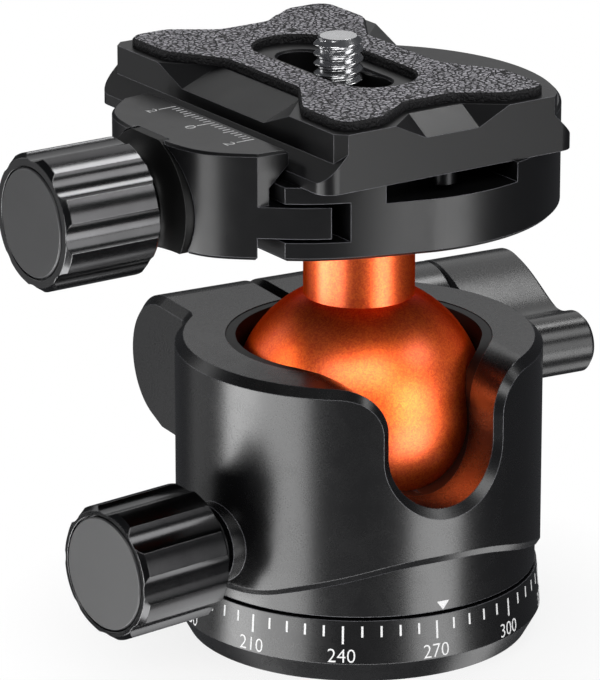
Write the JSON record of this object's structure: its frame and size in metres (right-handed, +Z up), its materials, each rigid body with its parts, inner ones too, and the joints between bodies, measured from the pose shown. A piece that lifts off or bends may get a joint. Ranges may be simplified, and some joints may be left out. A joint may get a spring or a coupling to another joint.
{
  "type": "tripod ball head",
  "caption": "Tripod ball head with a panning base, a notched ball housing, a lock lever and a screw-knob dovetail clamp with its camera plate.",
  "frame": {"origin": "centre of the pan base's underside, on the pan axis and on the tripod thread's axis", "axes": "+Z up along the pan axis; the housing's drop notch opens towards -Y; the lock screw and the tilt axis run along X, with the lock lever on +X; the clamp group is turned 5.5 degrees about +Z"},
  "size_m": [0.0874, 0.0597, 0.0791],
  "materials": {
    "body_black": "satin black anodised, fine bead-blasted grain",
    "base_black": "satin black anodised, turned",
    "clamp_black": "satin black anodised",
    "plate_black": "satin black anodised",
    "knob_black": "semi-gloss black anodised",
    "cap_grey": "satin dark grey",
    "ball_orange": "orange anodised, fine metallic grain",
    "steel": "satin machined steel",
    "black_steel": "blackened steel",
    "chrome": "polished",
    "spring_steel": "satin spring steel",
    "seat_plastic": "matt black acetal",
    "white_plastic": "matt natural acetal",
    "brass": "machined brass",
    "pad_rubber": "matt grey rubber with a coarse speckled grain"
  },
  "bodies": {
    "pan_base": {"pan_base": "base_black", "base_thread_insert": "steel", "pan_glide_washer": "white_plastic", "pan_spring_washer": "spring_steel", "pan_circlip": "spring_steel"},
    "housing": {"housing": "body_black", "ball_liner": "seat_plastic", "seat_wave_spring": "spring_steel", "ball_seat_ring": "white_plastic"},
    "thrust_ball": {"stem_thrust_ball": "steel"},
    "ball": {"ball": "ball_orange"},
    "clamp": {"clamp_body": "clamp_black", "stem_screw": "black_steel"},
    "lock_lever": {"main_lock_lever": "body_black", "main_lock_screw": "steel", "lever_washer": "seat_plastic", "lever_cap_screw": "black_steel"},
    "pan_plug": {"pan_brake_plug": "brass"},
    "pan_knob": {"pan_lock_knob": "knob_black", "pan_lock_stud": "steel", "pan_lock_knob_cap": "cap_grey"},
    "jaw": {"clamp_jaw": "clamp_black", "jaw_guide_pins": "steel", "jaw_springs": "spring_steel", "clamp_washer": "seat_plastic"},
    "clamp_knob": {"clamp_knob": "knob_black", "clamp_screw": "steel", "clamp_knob_cap": "cap_grey"},
    "plate": {"quick_release_plate": "plate_black", "plate_stop_screws": "black_steel", "rubber_pad": "pad_rubber"},
    "keeper": {"screw_keeper": "spring_steel"},
    "camera_screw": {"camera_screw": "chrome"}
  },
  "joints": [
    {"name": "pan_turn", "type": "hinge", "parent": "pan_base", "child": "housing", "pos_m": [0, 0, 0.009], "axis": [0, 0, 1], "continuous": true},
    {"name": "ball_lean", "type": "hinge", "parent": "housing", "child": "thrust_ball", "pos_m": [0, 0, 0.0302], "axis": [0, 1, 0], "range_deg": [-25, 25]},
    {"name": "ball_tilt", "type": "hinge", "parent": "thrust_ball", "child": "ball", "pos_m": [0, 0, 0.0302], "axis": [1, 0, 0], "range_deg": [-25, 90]},
    {"name": "ball_spin", "type": "hinge", "parent": "ball", "child": "clamp", "pos_m": [0, 0, 0.0302], "axis": [0, 0, 1], "continuous": true},
    {"name": "lock_lever_turn", "type": "hinge", "parent": "housing", "child": "lock_lever", "pos_m": [0.03, 0.0249, 0.0302], "axis": [1, 0, 0], "range_deg": [-20, 100]},
    {"name": "pan_plug_slide", "type": "slide", "parent": "housing", "child": "pan_plug", "axis": [-0.9799, -0.1994, 0], "range_m": [0, 0.0008]},
    {"name": "pan_knob_turn", "type": "hinge", "parent": "pan_plug", "child": "pan_knob", "pos_m": [-0.0294, -0.00598, 0.0164], "axis": [-0.9799, -0.1994, 0], "range_deg": [0, 360]},
    {"name": "jaw_slide", "type": "slide", "parent": "clamp", "child": "jaw", "axis": [-0.9954, -0.0958, 0], "range_m": [-0.0005, 0.003]},
    {"name": "clamp_knob_turn", "type": "hinge", "parent": "jaw", "child": "clamp_knob", "pos_m": [-0.03982, -0.00383, 0.0625], "axis": [-0.9954, -0.0958, 0], "range_deg": [-180, 1080]},
    {"name": "plate_slide", "type": "slide", "parent": "clamp", "child": "plate", "axis": [-0.0958, 0.9954, 0], "range_m": [-0.0115, 0.0072]},
    {"name": "camera_screw_slide", "type": "slide", "parent": "plate", "child": "keeper", "axis": [-0.0958, 0.9954, 0], "range_m": [-0.006, 0.008]},
    {"name": "camera_screw_turn", "type": "hinge", "parent": "keeper", "child": "camera_screw", "pos_m": [-0.00264, 0.00085, 0.07], "axis": [0, 0, 1], "continuous": true}
  ],
  "couplings": [
    {"joint": "pan_plug_slide", "follows": "pan_knob_turn", "m_per_rad": 0.000127},
    {"joint": "jaw_slide", "follows": "clamp_knob_turn", "m_per_rad": 0.000159}
  ]
}
